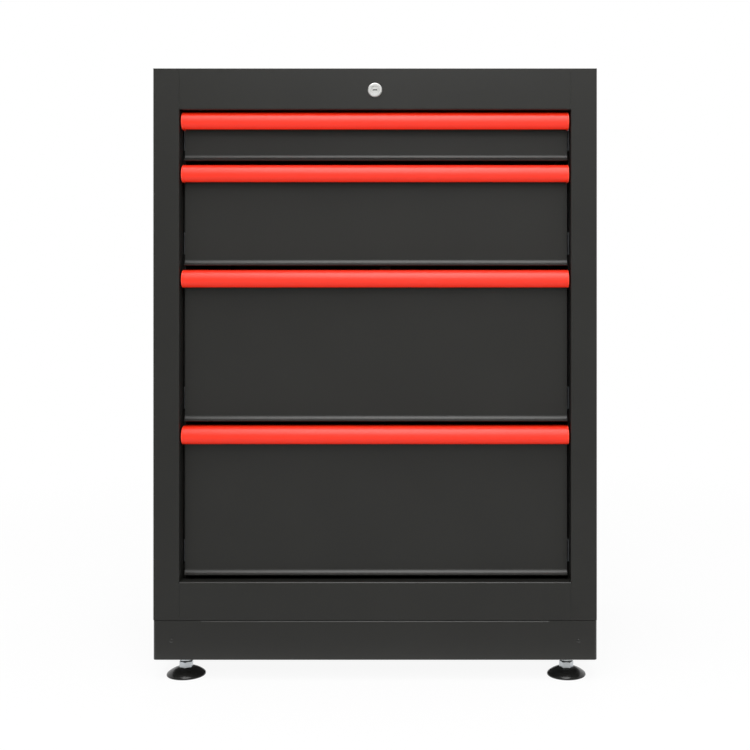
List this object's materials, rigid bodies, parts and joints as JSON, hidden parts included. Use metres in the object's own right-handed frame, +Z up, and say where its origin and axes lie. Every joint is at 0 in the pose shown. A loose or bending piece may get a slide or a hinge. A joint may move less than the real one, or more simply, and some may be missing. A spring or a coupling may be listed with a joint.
{
  "type": "workshop drawer cabinet",
  "caption": "Free-standing steel workshop cabinet: dark grey shell, drawers of rising depth with full-width red pulls, a central lock and levelling feet.",
  "frame": {"origin": "on the floor, under the centre of the cabinet's bounding box", "axes": "+Z up, -Y out of the drawer fronts, +X to the right as seen by the user"},
  "size_m": [0.68, 0.4628, 0.938],
  "materials": {
    "grey_paint": "dark warm grey powder coat, fine texture, semi-matt",
    "handle_red": "aluminium extrusion, signal red powder coat, satin gloss",
    "cap_plastic": "moulded red plastic end cap",
    "zinc_steel": "bright zinc plate on cold-formed steel",
    "bright_steel": "polished steel balls in a bright steel cage",
    "lock_zinc": "nickel-plated die-cast zinc",
    "foot_plastic": "black moulded nylon, glossy"
  },
  "bodies": {
    "cabinet": {"back_panel": "grey_paint", "back_panel_screws": "zinc_steel", "bottom_rail": "grey_paint", "floor_panel": "grey_paint", "foot_brackets": "grey_paint", "foot_nuts": "zinc_steel", "left_side_panel": "grey_paint", "lock_bar_guides": "zinc_steel", "lock_housing": "lock_zinc", "lock_nut": "lock_zinc", "lock_rod_hanger": "zinc_steel", "plinth_front": "grey_paint", "plinth_rear": "grey_paint", "plinth_sides": "grey_paint", "right_side_panel": "grey_paint", "rivets": "zinc_steel", "slide_outer_members": "zinc_steel", "slide_uprights": "grey_paint", "top_panel": "grey_paint", "top_rail": "grey_paint"},
    "drawer_1": {"drawer_1_catch": "zinc_steel", "drawer_1_front": "grey_paint", "drawer_1_handle": "handle_red", "drawer_1_handle_caps": "cap_plastic", "drawer_1_slide_members": "zinc_steel", "drawer_1_tray": "grey_paint"},
    "cages_1": {"drawer_1_ball_cages": "bright_steel"},
    "drawer_2": {"drawer_2_catch": "zinc_steel", "drawer_2_front": "grey_paint", "drawer_2_handle": "handle_red", "drawer_2_handle_caps": "cap_plastic", "drawer_2_slide_members": "zinc_steel", "drawer_2_tray": "grey_paint"},
    "cages_2": {"drawer_2_ball_cages": "bright_steel"},
    "drawer_3": {"drawer_3_catch": "zinc_steel", "drawer_3_front": "grey_paint", "drawer_3_handle": "handle_red", "drawer_3_handle_caps": "cap_plastic", "drawer_3_slide_members": "zinc_steel", "drawer_3_tray": "grey_paint"},
    "cages_3": {"drawer_3_ball_cages": "bright_steel"},
    "drawer_4": {"drawer_4_catch": "zinc_steel", "drawer_4_front": "grey_paint", "drawer_4_handle": "handle_red", "drawer_4_handle_caps": "cap_plastic", "drawer_4_slide_members": "zinc_steel", "drawer_4_tray": "grey_paint"},
    "cages_4": {"drawer_4_ball_cages": "bright_steel"},
    "lock_barrel": {"lock_plug": "lock_zinc", "lock_rod": "zinc_steel", "lock_crank": "zinc_steel"},
    "lock_lift": {"lock_bar": "zinc_steel"},
    "foot_front_left": {"foot_stud_front_left": "zinc_steel", "foot_pad_front_left": "foot_plastic"},
    "foot_front_right": {"foot_stud_front_right": "zinc_steel", "foot_pad_front_right": "foot_plastic"},
    "foot_rear_left": {"foot_stud_rear_left": "zinc_steel", "foot_pad_rear_left": "foot_plastic"},
    "foot_rear_right": {"foot_stud_rear_right": "zinc_steel", "foot_pad_rear_right": "foot_plastic"}
  },
  "joints": [
    {"name": "drawer_1_slide", "type": "slide", "parent": "cabinet", "child": "drawer_1", "axis": [0, -1, 0], "range_m": [0, 0.3]},
    {"name": "cages_1_roll", "type": "slide", "parent": "cabinet", "child": "cages_1", "axis": [0, -1, 0], "range_m": [0, 0.15]},
    {"name": "drawer_2_slide", "type": "slide", "parent": "cabinet", "child": "drawer_2", "axis": [0, -1, 0], "range_m": [0, 0.3]},
    {"name": "cages_2_roll", "type": "slide", "parent": "cabinet", "child": "cages_2", "axis": [0, -1, 0], "range_m": [0, 0.15]},
    {"name": "drawer_3_slide", "type": "slide", "parent": "cabinet", "child": "drawer_3", "axis": [0, -1, 0], "range_m": [0, 0.3]},
    {"name": "cages_3_roll", "type": "slide", "parent": "cabinet", "child": "cages_3", "axis": [0, -1, 0], "range_m": [0, 0.15]},
    {"name": "drawer_4_slide", "type": "slide", "parent": "cabinet", "child": "drawer_4", "axis": [0, -1, 0], "range_m": [0, 0.3]},
    {"name": "cages_4_roll", "type": "slide", "parent": "cabinet", "child": "cages_4", "axis": [0, -1, 0], "range_m": [0, 0.15]},
    {"name": "lock_turn", "type": "hinge", "parent": "cabinet", "child": "lock_barrel", "pos_m": [0, -0.22885, 0.9045], "axis": [0, 1, 0], "range_deg": [0, 90]},
    {"name": "lock_bar_lift", "type": "slide", "parent": "cabinet", "child": "lock_lift", "axis": [0, 0, 1], "range_m": [0, 0.01697]},
    {"name": "foot_front_left_height", "type": "slide", "parent": "cabinet", "child": "foot_front_left", "axis": [0, 0, -1], "range_m": [-0.001, 0.018]},
    {"name": "foot_front_right_height", "type": "slide", "parent": "cabinet", "child": "foot_front_right", "axis": [0, 0, -1], "range_m": [-0.001, 0.018]},
    {"name": "foot_rear_left_height", "type": "slide", "parent": "cabinet", "child": "foot_rear_left", "axis": [0, 0, -1], "range_m": [-0.001, 0.018]},
    {"name": "foot_rear_right_height", "type": "slide", "parent": "cabinet", "child": "foot_rear_right", "axis": [0, 0, -1], "range_m": [-0.001, 0.018]}
  ],
  "couplings": [
    {"joint": "cages_1_roll", "follows": "drawer_1_slide", "ratio": 0.5},
    {"joint": "cages_2_roll", "follows": "drawer_2_slide", "ratio": 0.5},
    {"joint": "cages_3_roll", "follows": "drawer_3_slide", "ratio": 0.5},
    {"joint": "cages_4_roll", "follows": "drawer_4_slide", "ratio": 0.5},
    {"joint": "lock_turn", "follows": "lock_bar_lift", "rad_per_m": 92.563}
  ]
}
